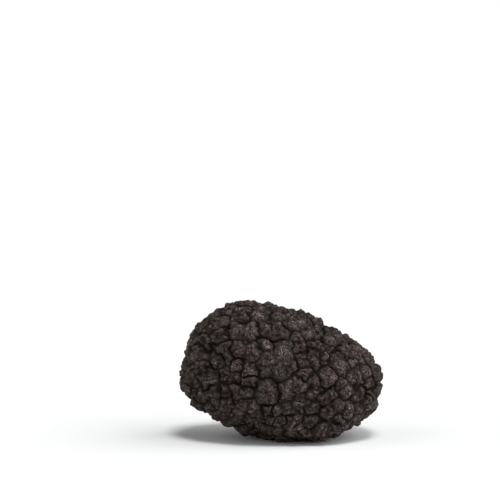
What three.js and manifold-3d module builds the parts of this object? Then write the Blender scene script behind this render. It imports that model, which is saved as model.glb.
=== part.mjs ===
/**
 * A black truffle, dug and brushed clean: one solid, lying on a small flat spot.
 *
 * Millimetres, +Z up, X along its length. The origin is on the surface that it lies on,
 * under the middle of its outline.
 *
 * The form has two layers. The body is a blunt, tilted, slightly lumpy egg. The rind on
 * it is cracked into polygonal warts, as on the real one: each wart is a domed cushion,
 * the fissures between warts go down towards the body, and large warts are cracked again
 * into lobes. The lobes are the cells of a power diagram on the sphere of directions, so
 * any two neighbours meet in one straight line, which then sways a little.
 */
import * as THREE from 'three';
import { ConvexHull } from 'three/addons/math/ConvexHull.js';
import { mergeVertices } from 'three/addons/utils/BufferGeometryUtils.js';
import Module from 'manifold-3d';

// The body without its warts, in its own axes: X along it, Y through it, Z across it
const HALF_LENGTH = 20;
const HALF_DEPTH = 13.9;
const HALF_HEIGHT = 13;
const BLUNTNESS = 2.25; // 2 is an ellipsoid, and more is fuller towards both ends

// How the body lies: turned about Y so that its right end is the lower one
const TILT = THREE.MathUtils.degToRad(12.8);
const CENTRE = new THREE.Vector3(-0.2, -0.1, 13.5);
const FOOT_LEVEL = 0.15; // the flattened underside of the body, above the lying surface
const FOOT_ROUNDING = 0.8;

// Swellings and hollows of the body: [along, through, across] of the way there from its
// middle, height and the half-angle that it spreads over
const SWELLINGS = [
  { toward: [-1.0, -0.2, 0.3], height: 0.1, spread: 16 },
  { toward: [-0.8, -0.1, 0.75], height: 1.1, spread: 17 },
  { toward: [-0.64, -0.1, 0.77], height: 0.6, spread: 9 },
  { toward: [-1.0, -0.1, -0.5], height: 0.8, spread: 13 },
  { toward: [0.6, -0.1, 0.8], height: -2.3, spread: 21 },
  { toward: [-0.35, -0.5, -0.85], height: -1.1, spread: 16 },
  { toward: [1.0, -0.1, -0.45], height: -1.4, spread: 12 },
  { toward: [1.0, -0.1, 0.2], height: 0.8, spread: 13 },
  { toward: [0.8, 0.8, 0.1], height: 1.2, spread: 24 },
  { toward: [-0.2, 1.0, -0.2], height: 0.4, spread: 28 },
  { toward: [-0.8, 0.8, 0.2], height: -1.2, spread: 22 },
];
const LUMP_SIZE = 11; // from one seeded lump of the body to the next
const LUMP_HEIGHT = 0.3;
const LUMP_WAVES = 14;
const MEAN_RADIUS = 17; // the body's, which turns directions into distances for patterns
const NORMAL_STEP = 0.02; // in radians, to either side of where the body's slope is taken

// Warts on the face that shows most, placed by eye: [across, up, radius] from the middle
// of that face, seen from the front and VIEW_RISE above level. Each wart lists its lobes.
const VIEW_RISE = THREE.MathUtils.degToRad(8.7);
const FACE_RISE = 0.7; // that middle is seen so far above the body's own
const PLACED_WARTS = [
  [[0.4, 4.5, 2], [-3.2, 2.6, 1.5], [-3.4, 0.2, 1.2], [-0.9, -0.4, 1.5], [1.5, 0.9, 1.2]],
  [[4.4, 3.6, 1.1], [6.9, 4.2, 1.2], [4.8, 1.8, 1.3], [7.2, 1.7, 1.2]],
  [[-9.2, 4.5, 1.8], [-6.3, 4.2, 1.8]],
  [[-3.4, -4.2, 2.6]],
  [[0.9, -3.6, 1.9], [3.4, -3, 1.6]],
  [[-9.6, 8.4, 1.6], [-6.9, 8.2, 1.7]],
  [[-3.9, 8.9, 1.3], [-1.5, 9.6, 1.2], [-0.2, 8.3, 1.1], [-2.4, 7.6, 1.1]],
  [[-3.6, 5.9, 1.4]],
  [[-5.2, 11.7, 1.9]],
  [[-0.9, 11.9, 1.6]],
  [[4, 5.3, 1.6], [3.4, 7.1, 1]],
  [[2, 9.8, 1.3], [3.9, 10.4, 1.2]],
  [[7.8, 5.8, 1.7]],
  [[5.8, 8.3, 1.4], [7.9, 8.1, 1.1]],
  [[9.3, 3.3, 1.1], [9, 1.8, 0.8]],
  [[12.2, 1.9, 2.1]],
  [[9.4, -1.1, 2]],
  [[6.6, -4.4, 1.4], [6.9, -2.2, 1]],
  [[9, -5.9, 1.3], [10.6, -4.7, 1.4]],
  [[13.5, -4.6, 1.4], [12.3, -2.9, 1]],
  [[4.6, -0.6, 1.3]],
  [[3.6, -6.6, 1.6]],
  [[6.4, -7.9, 1.4]],
  [[9.6, -8.2, 1.3], [11.6, -7.2, 1.2]],
  [[1, -8, 1.1], [-1.1, -8.2, 1.1]],
  [[-3.3, -8.2, 1.2]],
  [[2.6, -10.7, 1.7]],
  [[-7.6, 0.3, 1.6]],
  [[-7.2, -2.1, 1.2]],
  [[-12.2, -0.6, 1.3], [-10.4, -1.2, 1.3]],
  [[-9.8, 1.5, 1]],
  [[-9.5, -4.3, 1.4], [-7.5, -4.4, 1.4]],
  [[-12, -4.4, 1.2]],
  [[-11.2, -6.4, 1.5]],
  [[-8.2, -6.7, 1.3], [-6.4, -7.1, 1.4], [-5.4, -8.6, 0.9]],
  [[-9.8, -9, 1.4]],
  [[-12.4, 7.3, 1.5]],
  [[-14, 8.9, 1.3], [-12.6, 9.6, 0.9]],
  [[-12, 5, 1.2], [-11.6, 2.9, 1.1]],
  [[-13.6, 2.2, 1.4]],
  [[-17, 3.2, 1.1], [-17, 1.1, 1.2]],
  [[-15.6, 6.2, 1.4], [-17.6, 6.6, 1.2]],
  [[-13.2, 11.7, 1.6]],
  [[-15.5, 11, 1.1]],
  [[-8, 12.4, 1.2], [-8.4, 11.2, 0.9]],
  [[-10.3, 12.3, 1.2]],
  [[-16, 9, 1.3], [-18, 8.6, 1.1]],
  [[-15.8, -0.8, 1.3], [-14.5, -0.1, 1], [-15.2, -2.3, 1.1]],
  [[-18.7, -1.4, 1.3]],
  [[-18.8, -3.8, 1.2]],
  [[-18.6, -5.4, 1.2]],
  [[-16.2, -5.1, 1.1], [-14.3, -4.2, 1.1]],
  [[-14, -6.6, 1.2]],
  [[-13.1, -9, 1.2]],
  [[15.9, -0.9, 1.9]],
  [[18.3, -0.2, 1.4]],
  [[15.2, 1.8, 1.1]],
  [[16.7, 3, 1.2]],
  [[14.1, 3.4, 1.2], [14.2, 5, 1]],
  [[10.5, 5.2, 1.1]],
  [[10.6, 7.2, 1.3], [12.6, 6.8, 1.1]],
  [[9.2, 8.7, 1]],
  [[13.8, -8.5, 1.4]],
  [[16.6, -5, 1.4]],
  [[16.6, -7.4, 1.3]],
  [[19.3, -4.4, 1.3]],
  [[12.8, -11.5, 1.7]],
  [[15.9, -10.1, 1.3]],
  [[8.2, -11.7, 1.7], [10.3, -11.4, 1.2]],
  [[2.2, -13.4, 1.4]],
  [[-7, -10.7, 1.3]],
  [[-4.7, -10.5, 1.1]],
  [[-2.6, -10.4, 1.1], [-0.5, -10.5, 1.1]],
  [[-5, -12.6, 1.3]],
  [[-2.8, -12.5, 1.1], [-0.8, -12.7, 1.1]],
  [[5.3, -12.6, 1.2]],
];
// Warts that it lies on: [along, through, radius] on the flattened underside
const FOOT_WARTS = [
  [0.4, 0, 2.6],
  [5.4, 1.6, 2.4],
  [4.8, -2.8, 2],
  [-1.6, 4, 2],
  [-3, -3.4, 2.1],
  [-4.2, 0.8, 1.8],
  [9.2, -1, 1.9],
];
// Seeded warts fill what is left, from the largest size to the smallest
const SCATTERED_SIZES = [
  { radius: 2.7, tries: 260 },
  { radius: 2.1, tries: 500 },
  { radius: 1.6, tries: 1000 },
  { radius: 1.2, tries: 2600 },
];
const SIZE_SPREAD = 0.2;
const CLOSENESS = 0.82; // how near two warts may stand, in sums of their radii
const LOBED_FROM = 1.8; // seeded warts of this radius and more are cracked into lobes
const FEWEST_LOBES = 2;
const MORE_LOBES = 3; // up to so many more on the largest
const LOBE_REACH = 0.5; // from the wart's middle to a lobe's, in radii of the wart
const LOBE_UNEVENNESS = 0.3;
const LOBE_RADII = [1, 1, 0.58, 0.54, 0.5]; // of the wart's radius, by the number of lobes

// Relief of the rind: a wart's height, and the shares of it that its steep flank, its
// domed crown and the crowns of its lobes make
const RISE_PER_RADIUS = 0.5;
const LEAST_RISE = 0.35;
const MOST_RISE = 1.8;
const RISE_SPREAD = 0.25; // some warts stand out more than others of their size
const MEAN_RISE = 1; // of the warts placed by eye
const FLANK = 0.12; // how far from a fissure a wart has risen by two thirds of its flank
const FLANK_SHARE = 0.18;
const CROWN_SHARE = 0.5;
const LOBE_SHARE = 0.32;
const LOBE_SPREAD = 0.4; // some lobes stand out more than others
const LOBE_LEAN = 0.5; // and their crowns lean
const CLEAR_RADIUS = 0.9; // from a wart's middle to its fissures, in its radii
const LOBE_CRACK = 0.2;
const LOBE_CRACK_DEPTH = 0.08; // share of the wart's height
const FILLED = 0.18; // fissures are partly filled, more in some places than in others
const FILLED_SPREAD = 0.24;
const FILLED_SIZE = 6;
const FILLED_WAVES = 10;
const FILLED_ROUNDING = 0.1;
const OPENING_SIZE = 6; // fissures gape in some places and are tight in others
const OPENING_SPREAD = 0.6;
const OPENING_WAVES = 10;
const FISSURE_WAVE = 3.2; // fissures wander from straight lines
const FISSURE_SWAY = 0.35;
const SWAY_WAVES = 8;
const SWAY_ROUNDS = 4; // of undoing the sway, each nearer than the last

// The mesh
const NEAREST_CORNERS = 0.45; // corners closer than this are one
const MOST_JOINED = 3;
const LONGEST_FISSURE = 2.4; // longer ones bend in their middle
const SHOULDER = 0.5; // from the fissure to the wart's shoulder
const TWO_RINGS_FROM = 1.32;
const INNER_RING = 0.5; // share of the way to the wart's middle

const SEED = 1729;
const RIND = new THREE.Color('#37302d');

/** Park and Miller's generator, from 0 to 1. */
function makeRandom(seed) {
  let state = seed;
  return () => {
    state = (state * 16807) % 2147483647;
    return state / 2147483647;
  };
}

/** A direction drawn evenly over the sphere. */
function randomDirection(random) {
  const height = 2 * random() - 1;
  const turn = 2 * Math.PI * random();
  const reach = Math.sqrt(1 - height * height);
  return new THREE.Vector3(reach * Math.cos(turn), reach * Math.sin(turn), height);
}

/** A direction square to the given one. */
function sideOf(direction) {
  const steep = Math.abs(direction.z) >= 0.9;
  const pole = steep ? new THREE.Vector3(1, 0, 0) : new THREE.Vector3(0, 0, 1);
  return new THREE.Vector3().crossVectors(pole, direction).normalize();
}

/** Plane waves in random directions, whose sum is a smooth random pattern. */
function makeWaves(seed, count, length) {
  const random = makeRandom(seed);
  const waves = [];
  for (let i = 0; i < count; i += 1) {
    const vector = randomDirection(random).multiplyScalar((2 * Math.PI) / length);
    waves.push({ vector, phase: 2 * Math.PI * random() });
  }
  return waves;
}

/** The pattern's value at a point, about -1 to 1. */
function waveValue(waves, point) {
  let sum = 0;
  for (const wave of waves) {
    sum += Math.cos(wave.vector.dot(point) + wave.phase);
  }
  return sum / Math.sqrt(waves.length);
}

/** The larger of two heights, with a rounded change from one to the other. */
function roundedMax(a, b, rounding) {
  return (a + b + Math.sqrt((a - b) ** 2 + rounding ** 2)) / 2;
}

const lumps = makeWaves(SEED, LUMP_WAVES, LUMP_SIZE);
const filling = makeWaves(SEED + 1, FILLED_WAVES, FILLED_SIZE);
const sways = [2, 3, 4].map((offset) => makeWaves(SEED + offset, SWAY_WAVES, FISSURE_WAVE));
const openings = makeWaves(SEED + 7, OPENING_WAVES, OPENING_SIZE);
const swellings = SWELLINGS.map(({ toward, height, spread }) => ({
  direction: new THREE.Vector3(...toward).normalize(),
  height,
  spread: THREE.MathUtils.degToRad(spread),
}));

/** Distance from the body's middle to its surface in a direction of its own axes. */
function bodyRadius(direction) {
  const along = Math.abs(direction.x) / HALF_LENGTH;
  const across = Math.hypot(direction.y / HALF_DEPTH, direction.z / HALF_HEIGHT);
  let radius = (along ** BLUNTNESS + across ** BLUNTNESS) ** (-1 / BLUNTNESS);
  for (const swelling of swellings) {
    const angle = direction.angleTo(swelling.direction);
    radius += swelling.height * Math.exp(-0.5 * (angle / swelling.spread) ** 2);
  }
  const point = direction.clone().multiplyScalar(MEAN_RADIUS);
  return radius + LUMP_HEIGHT * waveValue(lumps, point);
}

/** The body's surface point in a direction, as it lies on its flattened underside. */
function bodyPoint(direction) {
  const point = direction.clone().multiplyScalar(bodyRadius(direction));
  point.applyAxisAngle(new THREE.Vector3(0, 1, 0), TILT).add(CENTRE);
  point.z = roundedMax(point.z, FOOT_LEVEL, FOOT_ROUNDING);
  return point;
}

/** The body's outward normal, from points a small step to either side. */
function bodyNormal(direction) {
  const sideways = sideOf(direction);
  const upwards = new THREE.Vector3().crossVectors(direction, sideways);
  const slope = (step) => {
    const ahead = direction.clone().addScaledVector(step, NORMAL_STEP).normalize();
    const behind = direction.clone().addScaledVector(step, -NORMAL_STEP).normalize();
    return bodyPoint(ahead).sub(bodyPoint(behind));
  };
  return slope(sideways).cross(slope(upwards)).normalize();
}

/** How far the fissures sway sideways at a direction. */
function sway(direction) {
  const point = direction.clone().multiplyScalar(MEAN_RADIUS);
  const shift = new THREE.Vector3(...sways.map((waves) => waveValue(waves, point)));
  return shift.multiplyScalar(FISSURE_SWAY / MEAN_RADIUS);
}

/** The direction of the straight diagram that shows at a direction of the truffle. */
function straightened(direction) {
  return direction.clone().add(sway(direction)).normalize();
}

/** The other way round: where a direction of the straight diagram shows. */
function swayed(direction) {
  let found = direction.clone();
  for (let i = 0; i < SWAY_ROUNDS; i += 1) {
    found = direction.clone().sub(sway(found)).normalize();
  }
  return found;
}

/** The direction of a place on the front face, given as it is seen. */
function frontDirection(across, upFace) {
  const up = upFace + FACE_RISE;
  const along = across * Math.cos(TILT) - up * Math.sin(TILT);
  const above = across * Math.sin(TILT) + up * Math.cos(TILT);
  const share = Math.hypot(
    along / (HALF_LENGTH + MEAN_RISE),
    above / (HALF_HEIGHT + MEAN_RISE),
  );
  const near = (HALF_DEPTH + MEAN_RISE) * Math.sqrt(Math.max(0, 1 - share ** 2));
  const y = above * Math.sin(VIEW_RISE) - near * Math.cos(VIEW_RISE);
  const z = above * Math.cos(VIEW_RISE) + near * Math.sin(VIEW_RISE);
  return new THREE.Vector3(along, y, z).normalize();
}

/** The direction of a place on the underside. */
function footDirection(along, through) {
  const point = new THREE.Vector3(along, through, FOOT_LEVEL).sub(CENTRE);
  return point.applyAxisAngle(new THREE.Vector3(0, 1, 0), -TILT).normalize();
}

/** A wart with the lobes that it is cracked into. */
function makeWart(direction, radius, lobes) {
  return { direction, radius, angle: radius / bodyRadius(direction), lobes };
}

function placedWarts() {
  return PLACED_WARTS.map((places) => {
    const lobes = places.map(([across, up, radius]) => ({
      direction: frontDirection(across, up),
      radius,
    }));
    const middle = new THREE.Vector3();
    lobes.forEach((lobe) => middle.addScaledVector(lobe.direction, lobe.radius));
    middle.normalize();
    const reach = lobes.map(
      (lobe) => middle.angleTo(lobe.direction) * bodyRadius(middle) + lobe.radius,
    );
    return makeWart(middle, (Math.max(...reach) + Math.min(...reach)) / 2, lobes);
  });
}

function footWarts() {
  return FOOT_WARTS.map(([along, through, radius]) => {
    const direction = footDirection(along, through);
    return makeWart(direction, radius, [{ direction, radius }]);
  });
}

/** Two to four lobes round the middle of a large seeded wart, or the wart itself. */
function seededLobes(direction, radius, random) {
  if (radius < LOBED_FROM) {
    return [{ direction, radius }];
  }
  const count = FEWEST_LOBES + Math.floor(MORE_LOBES * random());
  const start = 2 * Math.PI * random();
  const reach = (LOBE_REACH * radius) / MEAN_RADIUS;
  const side = sideOf(direction);
  const lobes = [];
  for (let i = 0; i < count; i += 1) {
    const turn = start + (2 * Math.PI * (i + LOBE_UNEVENNESS * random())) / count;
    const outward = side.clone().applyAxisAngle(direction, turn);
    lobes.push({
      direction: direction.clone().addScaledVector(outward, reach).normalize(),
      radius: radius * LOBE_RADII[count],
    });
  }
  return lobes;
}

/** Adds seeded warts wherever there is room for one, the largest first. */
function scatterWarts(warts) {
  const random = makeRandom(SEED + 5);
  for (const { radius, tries } of SCATTERED_SIZES) {
    for (let i = 0; i < tries; i += 1) {
      const direction = randomDirection(random);
      const size = radius * (1 + SIZE_SPREAD * (random() - 0.5));
      const angle = size / bodyRadius(direction);
      const clear = warts.every(
        (wart) => wart.direction.angleTo(direction) > CLOSENESS * (wart.angle + angle),
      );
      if (clear) {
        warts.push(makeWart(direction, size, seededLobes(direction, size, random)));
      }
    }
  }
}

/** Every lobe is a cell, whose pole is its direction drawn out by its angular radius. */
function makeCells() {
  const warts = [...placedWarts(), ...footWarts()];
  scatterWarts(warts);
  const random = makeRandom(SEED + 6);
  const around1 = (spread) => 1 + spread * (2 * random() - 1);
  const cells = [];
  warts.forEach((wart) => {
    const mean = Math.min(MOST_RISE, LEAST_RISE + RISE_PER_RADIUS * wart.radius);
    const rise = mean * around1(RISE_SPREAD);
    wart.lobes.forEach(({ direction, radius }) => {
      const pole = direction.clone().divideScalar(Math.cos(radius / bodyRadius(direction)));
      const swell = around1(LOBE_SPREAD);
      const lean = randomDirection(random).multiplyScalar(LOBE_LEAN);
      cells.push({ pole, direction, wart, radius, rise, swell, lean });
    });
  });
  return cells;
}

const cells = makeCells();

/** A rounded rise from 0 at the edge to 1 at the middle. */
function dome(share) {
  return 1 - (1 - Math.min(1, share)) ** 2;
}

/** Height of the rind above the body in a direction. */
function rindHeight(direction) {
  const straight = straightened(direction);
  const scores = cells.map((cell) => straight.dot(cell.pole));
  const own = scores.indexOf(Math.max(...scores));
  const cell = cells[own];
  const radius = bodyRadius(direction);
  let toFissure = Infinity;
  let toCrack = Infinity;
  cells.forEach((other, i) => {
    if (i === own) {
      return;
    }
    const distance = (radius * (scores[own] - scores[i])) / cell.pole.distanceTo(other.pole);
    if (other.wart === cell.wart) {
      toCrack = Math.min(toCrack, distance);
    } else {
      toFissure = Math.min(toFissure, distance);
    }
  });
  const point = direction.clone().multiplyScalar(MEAN_RADIUS);
  const opening = 2 ** (OPENING_SPREAD * waveValue(openings, point));
  const flank = 1 - Math.exp(-toFissure / (FLANK * opening));
  const crown = dome(toFissure / (CLEAR_RADIUS * cell.wart.radius));
  const lobe = dome(Math.min(toFissure, toCrack) / (CLEAR_RADIUS * cell.radius));
  const crack = Math.exp(-toCrack / LOBE_CRACK) * flank;
  const offset = direction.clone().sub(cell.direction).multiplyScalar(radius / cell.radius);
  const swell = cell.swell + offset.dot(cell.lean);
  const shares = FLANK_SHARE * flank + CROWN_SHARE * crown + LOBE_SHARE * lobe * swell;
  const filled = Math.max(0, FILLED + FILLED_SPREAD * waveValue(filling, point));
  const height = cell.rise * (shares - LOBE_CRACK_DEPTH * crack);
  return roundedMax(height, filled, FILLED_ROUNDING);
}

/** The truffle's surface point in a direction. */
function skinPoint(direction) {
  return bodyPoint(direction).addScaledVector(bodyNormal(direction), rindHeight(direction));
}

/**
 * Corners of the cells, in the straight diagram. The flat faces of the hull round the
 * poles each name three cells that meet, and the face's normal is where they meet.
 */
function findCorners() {
  const hull = new ConvexHull().setFromPoints(cells.map((cell) => cell.pole));
  const index = new Map(cells.map((cell, i) => [cell.pole, i]));
  const corners = hull.faces.map((face) => {
    const edges = [face.getEdge(0), face.getEdge(1), face.getEdge(2)];
    return {
      direction: face.normal.clone(),
      around: edges.map((edge) => index.get(edge.head().point)),
      next: edges.map((edge) => edge.twin.face),
      face,
    };
  });
  const byFace = new Map(corners.map((corner) => [corner.face, corner]));
  corners.forEach((corner) => {
    corner.next = corner.next.map((face) => byFace.get(face));
  });
  return corners;
}

/** Joins corners that are nearly one, and gives every corner its vertex. */
function joinCorners(corners, addVertex) {
  const groupOf = new Map(corners.map((corner) => [corner, [corner]]));
  corners.forEach((corner) => {
    corner.next.forEach((other) => {
      const gap = corner.direction.angleTo(other.direction) * bodyRadius(corner.direction);
      const own = groupOf.get(corner);
      const theirs = groupOf.get(other);
      if (gap < NEAREST_CORNERS && own !== theirs && own.length + theirs.length <= MOST_JOINED) {
        theirs.forEach((member) => {
          own.push(member);
          groupOf.set(member, own);
        });
      }
    });
  });
  new Set(groupOf.values()).forEach((group) => {
    const middle = new THREE.Vector3();
    group.forEach((corner) => middle.add(corner.direction));
    const straight = middle.normalize();
    const direction = swayed(straight);
    const spot = { straight, direction, vertex: addVertex(direction) };
    group.forEach((corner) => {
      corner.spot = spot;
    });
  });
}

/** The corners round one cell, counter-clockwise seen from outside, each of them once. */
function ringOf(cellIndex, corners) {
  const own = corners.filter((corner) => corner.around.includes(cellIndex));
  const centre = cells[cellIndex].pole.clone().normalize();
  const side = sideOf(centre);
  const other = new THREE.Vector3().crossVectors(centre, side);
  const bearing = ({ direction }) => {
    const offset = direction.clone().sub(centre);
    return Math.atan2(offset.dot(other), offset.dot(side));
  };
  own.sort((a, b) => bearing(a) - bearing(b));
  const spots = own.map((corner) => corner.spot);
  return spots.filter((spot, i) => spot !== spots[(i + 1) % spots.length]);
}

/** The closed skin: for each cell a ring on its fissures, its shoulder and its crown. */
function skinGeometry() {
  const positions = [];
  const triangles = [];
  const addVertex = (direction) => {
    positions.push(...skinPoint(direction).toArray());
    return positions.length / 3 - 1;
  };
  const corners = findCorners();
  joinCorners(corners, addVertex);

  const bends = new Map();
  const bendBetween = (a, b) => {
    const middle = a.straight.clone().add(b.straight).normalize();
    if (a.straight.angleTo(b.straight) * bodyRadius(middle) < LONGEST_FISSURE) {
      return [];
    }
    const key = [a.vertex, b.vertex].sort((m, n) => m - n).join(' ');
    if (!bends.has(key)) {
      const direction = swayed(middle);
      bends.set(key, { direction, vertex: addVertex(direction) });
    }
    return [bends.get(key)];
  };
  const bridge = (outer, inner) => {
    outer.forEach((spot, i) => {
      const j = (i + 1) % outer.length;
      triangles.push(spot.vertex, outer[j].vertex, inner[j].vertex);
      triangles.push(spot.vertex, inner[j].vertex, inner[i].vertex);
    });
  };

  cells.forEach((cell, cellIndex) => {
    const ring = ringOf(cellIndex, corners);
    if (ring.length < 3) {
      return;
    }
    let outer = ring.flatMap((spot, i) => {
      return [spot, ...bendBetween(spot, ring[(i + 1) % ring.length])];
    });
    const middle = new THREE.Vector3();
    outer.forEach((spot) => middle.add(spot.direction));
    middle.normalize();
    const inset = (share) => outer.map((spot) => {
      const direction = spot.direction.clone().lerp(middle, share).normalize();
      return { direction, vertex: addVertex(direction) };
    });
    const shares = [Math.min(INNER_RING, SHOULDER / (CLEAR_RADIUS * cell.radius))];
    if (cell.radius > TWO_RINGS_FROM) {
      shares.push(INNER_RING);
    }
    shares.forEach((share) => {
      const inner = inset(share);
      bridge(outer, inner);
      outer = inner;
    });
    const top = addVertex(middle);
    outer.forEach((spot, i) => {
      triangles.push(spot.vertex, outer[(i + 1) % outer.length].vertex, top);
    });
  });

  const geometry = new THREE.BufferGeometry();
  geometry.setAttribute('position', new THREE.Float32BufferAttribute(positions, 3));
  geometry.setIndex(triangles);
  return geometry;
}

/** The crowns that it lies on are flat: what is below the lying surface is cut off. */
async function cutFlat(geometry) {
  const wasm = await Module();
  wasm.setup();
  const solidOf = (shape) => {
    const plain = shape.clone();
    plain.deleteAttribute('normal');
    plain.deleteAttribute('uv');
    const merged = mergeVertices(plain);
    return new wasm.Manifold(new wasm.Mesh({
      numProp: 3,
      vertProperties: new Float32Array(merged.attributes.position.array),
      triVerts: new Uint32Array(merged.index.array),
    }));
  };
  const side = 4 * HALF_LENGTH;
  const below = new THREE.BoxGeometry(side, side, side).translate(0, 0, -side / 2);
  const cut = solidOf(geometry).subtract(solidOf(below)).getMesh();
  const flat = new THREE.BufferGeometry();
  flat.setAttribute('position', new THREE.BufferAttribute(cut.vertProperties, 3));
  flat.setIndex(new THREE.BufferAttribute(cut.triVerts, 1));
  flat.computeVertexNormals();
  return flat;
}

const truffle = new THREE.Mesh(
  await cutFlat(skinGeometry()),
  new THREE.MeshStandardMaterial({ color: RIND, roughness: 0.75, metalness: 0 }),
);
truffle.name = 'black_truffle';

const part = new THREE.Group();
part.add(truffle);
export default part;
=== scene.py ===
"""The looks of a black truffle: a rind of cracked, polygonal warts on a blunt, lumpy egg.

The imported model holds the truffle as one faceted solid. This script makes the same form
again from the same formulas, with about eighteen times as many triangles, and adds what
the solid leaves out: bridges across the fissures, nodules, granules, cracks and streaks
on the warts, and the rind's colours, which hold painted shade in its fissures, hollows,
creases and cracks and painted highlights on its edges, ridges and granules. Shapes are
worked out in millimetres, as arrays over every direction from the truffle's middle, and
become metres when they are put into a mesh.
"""

import itertools
import math

import bpy
import numpy as np
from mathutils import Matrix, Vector


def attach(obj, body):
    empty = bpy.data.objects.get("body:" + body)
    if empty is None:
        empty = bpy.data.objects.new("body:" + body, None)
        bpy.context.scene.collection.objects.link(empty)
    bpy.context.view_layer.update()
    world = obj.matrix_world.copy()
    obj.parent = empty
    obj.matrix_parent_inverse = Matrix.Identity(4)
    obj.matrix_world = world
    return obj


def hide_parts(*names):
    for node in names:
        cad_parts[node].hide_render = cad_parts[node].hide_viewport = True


MM = 0.001

# The body without its warts, in its own axes: X along it, Y through it, Z across it
HALF_LENGTH = 20.0
HALF_DEPTH = 13.9
HALF_HEIGHT = 13.0
BLUNTNESS = 2.25  # 2 is an ellipsoid, and more is fuller towards both ends

# How the body lies: turned about Y so that its right end is the lower one
TILT = math.radians(12.8)
CENTRE = np.array([-0.2, -0.1, 13.5])
FOOT_LEVEL = 0.15
FOOT_ROUNDING = 0.8

# Swellings and hollows of the body: the way there, height, half-angle in degrees
SWELLINGS = [
    ((-1.0, -0.2, 0.3), 0.1, 16),
    ((-0.8, -0.1, 0.75), 1.1, 17),
    ((-0.64, -0.1, 0.77), 0.6, 9),
    ((-1.0, -0.1, -0.5), 0.8, 13),
    ((0.6, -0.1, 0.8), -2.3, 21),
    ((-0.35, -0.5, -0.85), -1.1, 16),
    ((1.0, -0.1, -0.45), -1.4, 12),
    ((1.0, -0.1, 0.2), 0.8, 13),
    ((0.8, 0.8, 0.1), 1.2, 24),
    ((-0.2, 1.0, -0.2), 0.4, 28),
    ((-0.8, 0.8, 0.2), -1.2, 22),
]
LUMP_SIZE = 11
LUMP_HEIGHT = 0.3
LUMP_WAVES = 14
MEAN_RADIUS = 17  # turns directions into distances for patterns
NORMAL_STEP = 0.02
NEAR_POLE = 0.9  # past this height a direction is too near the pole to be set against it

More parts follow.
